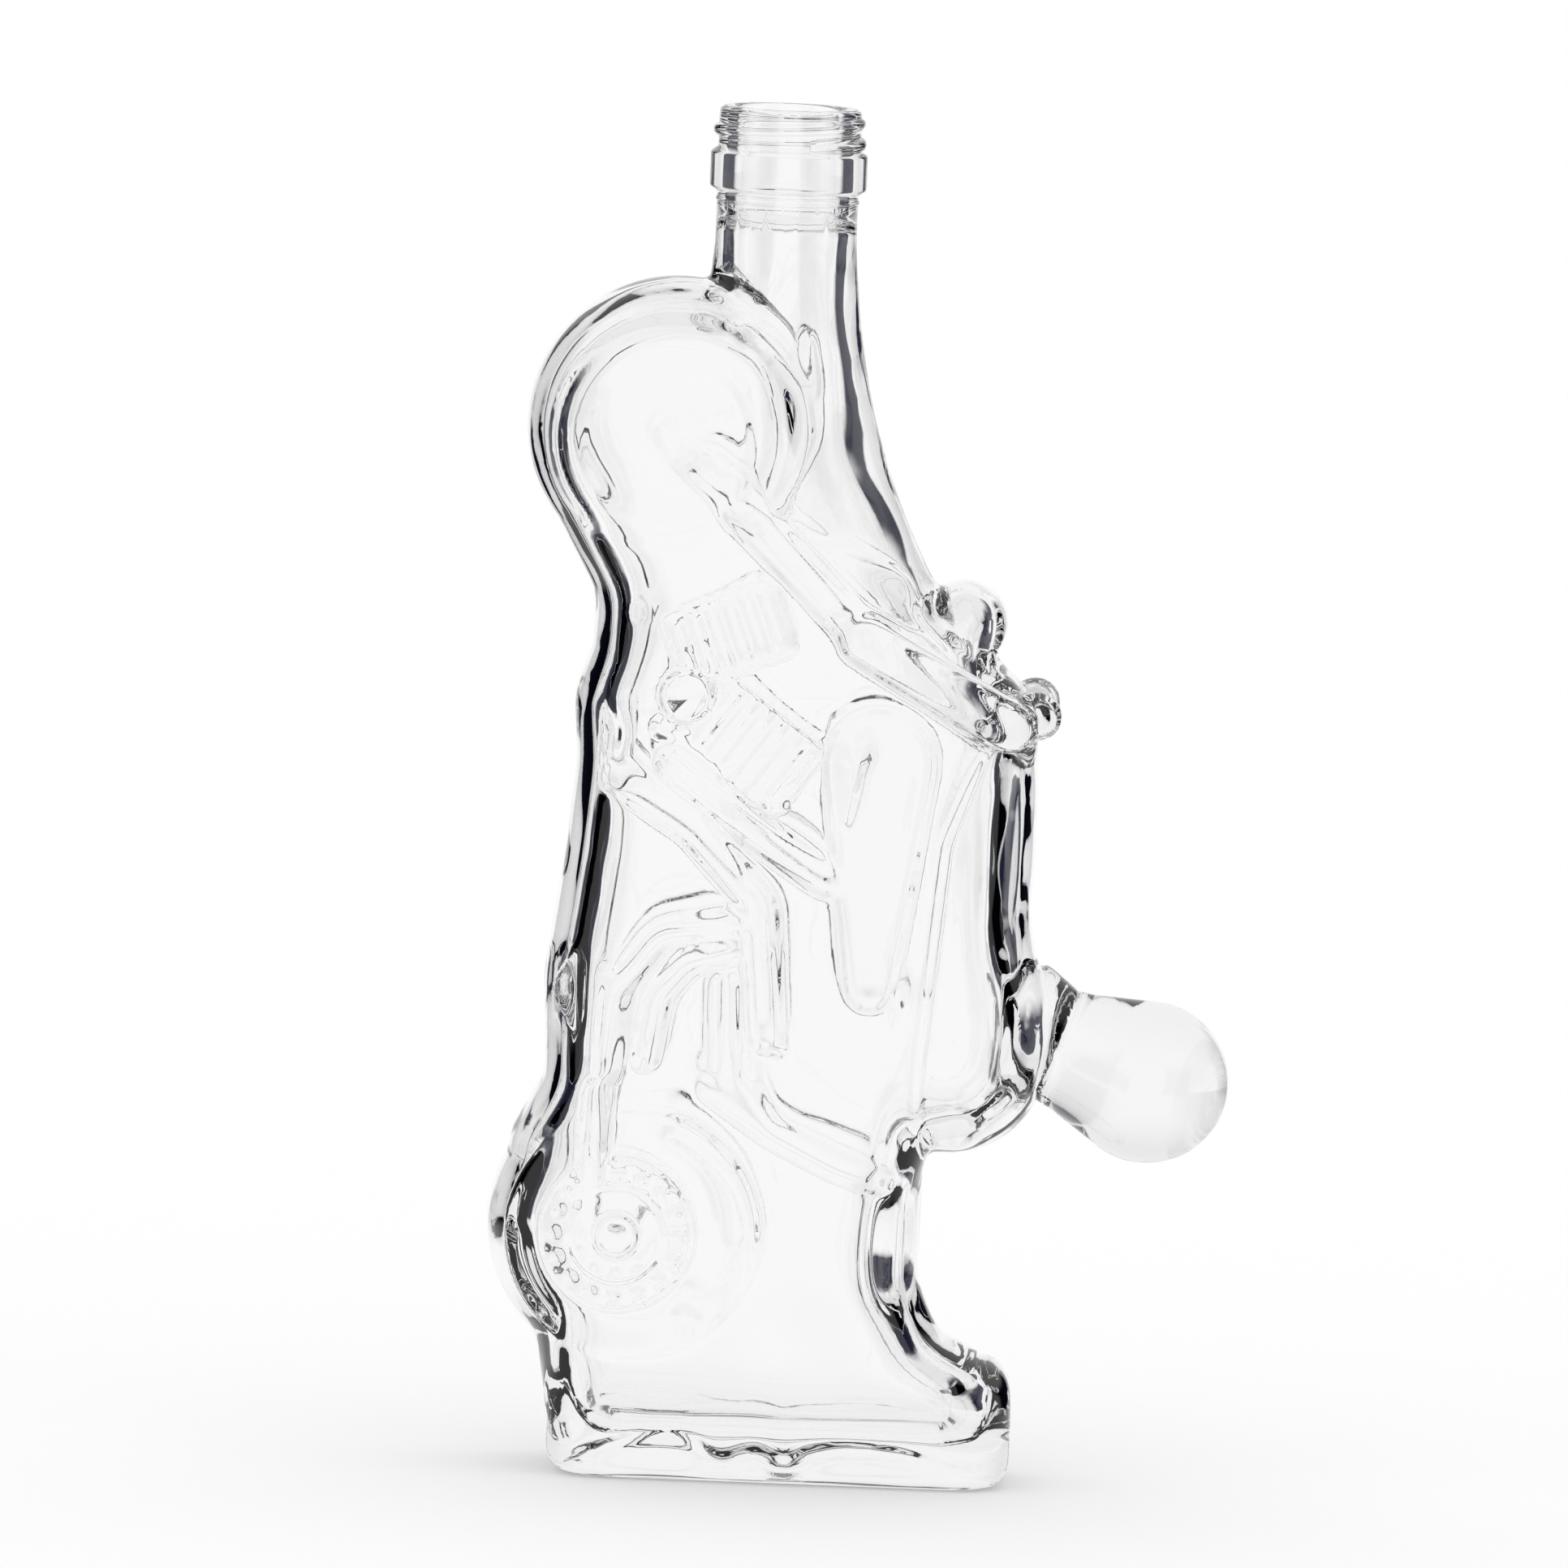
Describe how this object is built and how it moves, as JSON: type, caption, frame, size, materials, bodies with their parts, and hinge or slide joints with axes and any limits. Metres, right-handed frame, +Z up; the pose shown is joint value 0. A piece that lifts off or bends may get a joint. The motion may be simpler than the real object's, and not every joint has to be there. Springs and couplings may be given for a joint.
{
  "type": "figural glass bottle",
  "caption": "Clear glass figural liquor bottle shaped as a motorcycle rearing on its back wheel, with an open threaded neck.",
  "frame": {"origin": "bottom centre of the whole bottle's box, on the plane that it stands on", "axes": "+Z up along the neck, +X from the rear tyre towards the glass ball, the mould parting along y = 0"},
  "size_m": [0.1316, 0.0462, 0.2452],
  "materials": {
    "clear_glass": "fire-polished gloss"
  },
  "bodies": {
    "root": {"figural_body": "clear_glass", "neck_finish": "clear_glass", "tail_ball": "clear_glass"}
  },
  "joints": []
}
